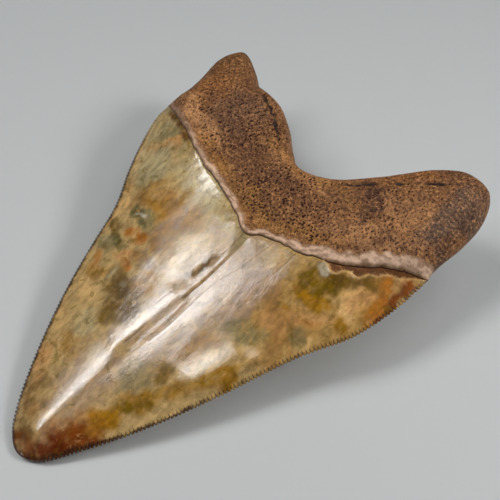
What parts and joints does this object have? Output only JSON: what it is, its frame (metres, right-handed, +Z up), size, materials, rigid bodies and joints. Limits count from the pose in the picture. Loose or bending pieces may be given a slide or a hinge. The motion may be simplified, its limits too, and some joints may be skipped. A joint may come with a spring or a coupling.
{
  "type": "megalodon tooth",
  "caption": "Fossil shark tooth: a broad triangular enamel crown with finely serrated cutting edges on a two-lobed porous root, lying labial side up.",
  "frame": {"origin": "centre of the bounding box at its base, on the surface that the tooth lies on", "axes": "+X across the tooth, +Y along it from the tip to the root, +Z up, out of the flatter labial side"},
  "size_m": [0.0784, 0.1052, 0.0259],
  "materials": {
    "fossil_tooth": "glossy mottled olive and amber enamel crown, porous brown root bone"
  },
  "bodies": {
    "root": {"tooth": "fossil_tooth"}
  },
  "joints": []
}
